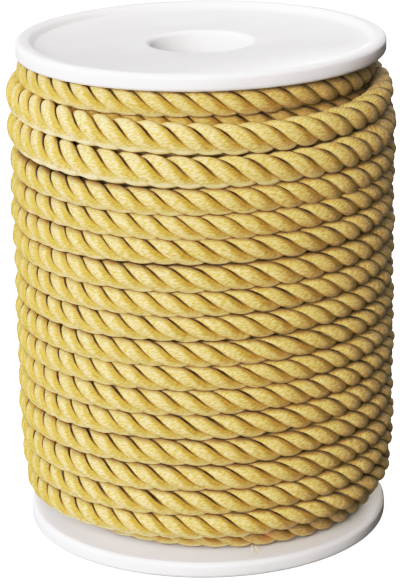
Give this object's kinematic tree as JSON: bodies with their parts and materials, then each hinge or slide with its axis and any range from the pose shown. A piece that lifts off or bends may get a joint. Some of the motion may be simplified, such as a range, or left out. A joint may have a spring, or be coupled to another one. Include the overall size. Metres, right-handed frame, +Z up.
{
  "type": "twisted cord on spool",
  "caption": "Thick gold three-ply twisted cord wound full on an upright white plastic spool with rimmed round flanges and an open bore.",
  "frame": {"origin": "on the spool's axis, in the plane of the lower flange's rim, which the floor touches", "axes": "+Z up along the spool's axis; -Y is the front that the picture shows; +X to its right"},
  "size_m": [0.0782, 0.0781, 0.1013],
  "materials": {
    "spool_plastic": "white moulded plastic with a soft sheen",
    "gold_cord": "satin gold twisted yarn"
  },
  "bodies": {
    "root": {"spool": "spool_plastic", "wound_cord": "gold_cord"}
  },
  "joints": []
}
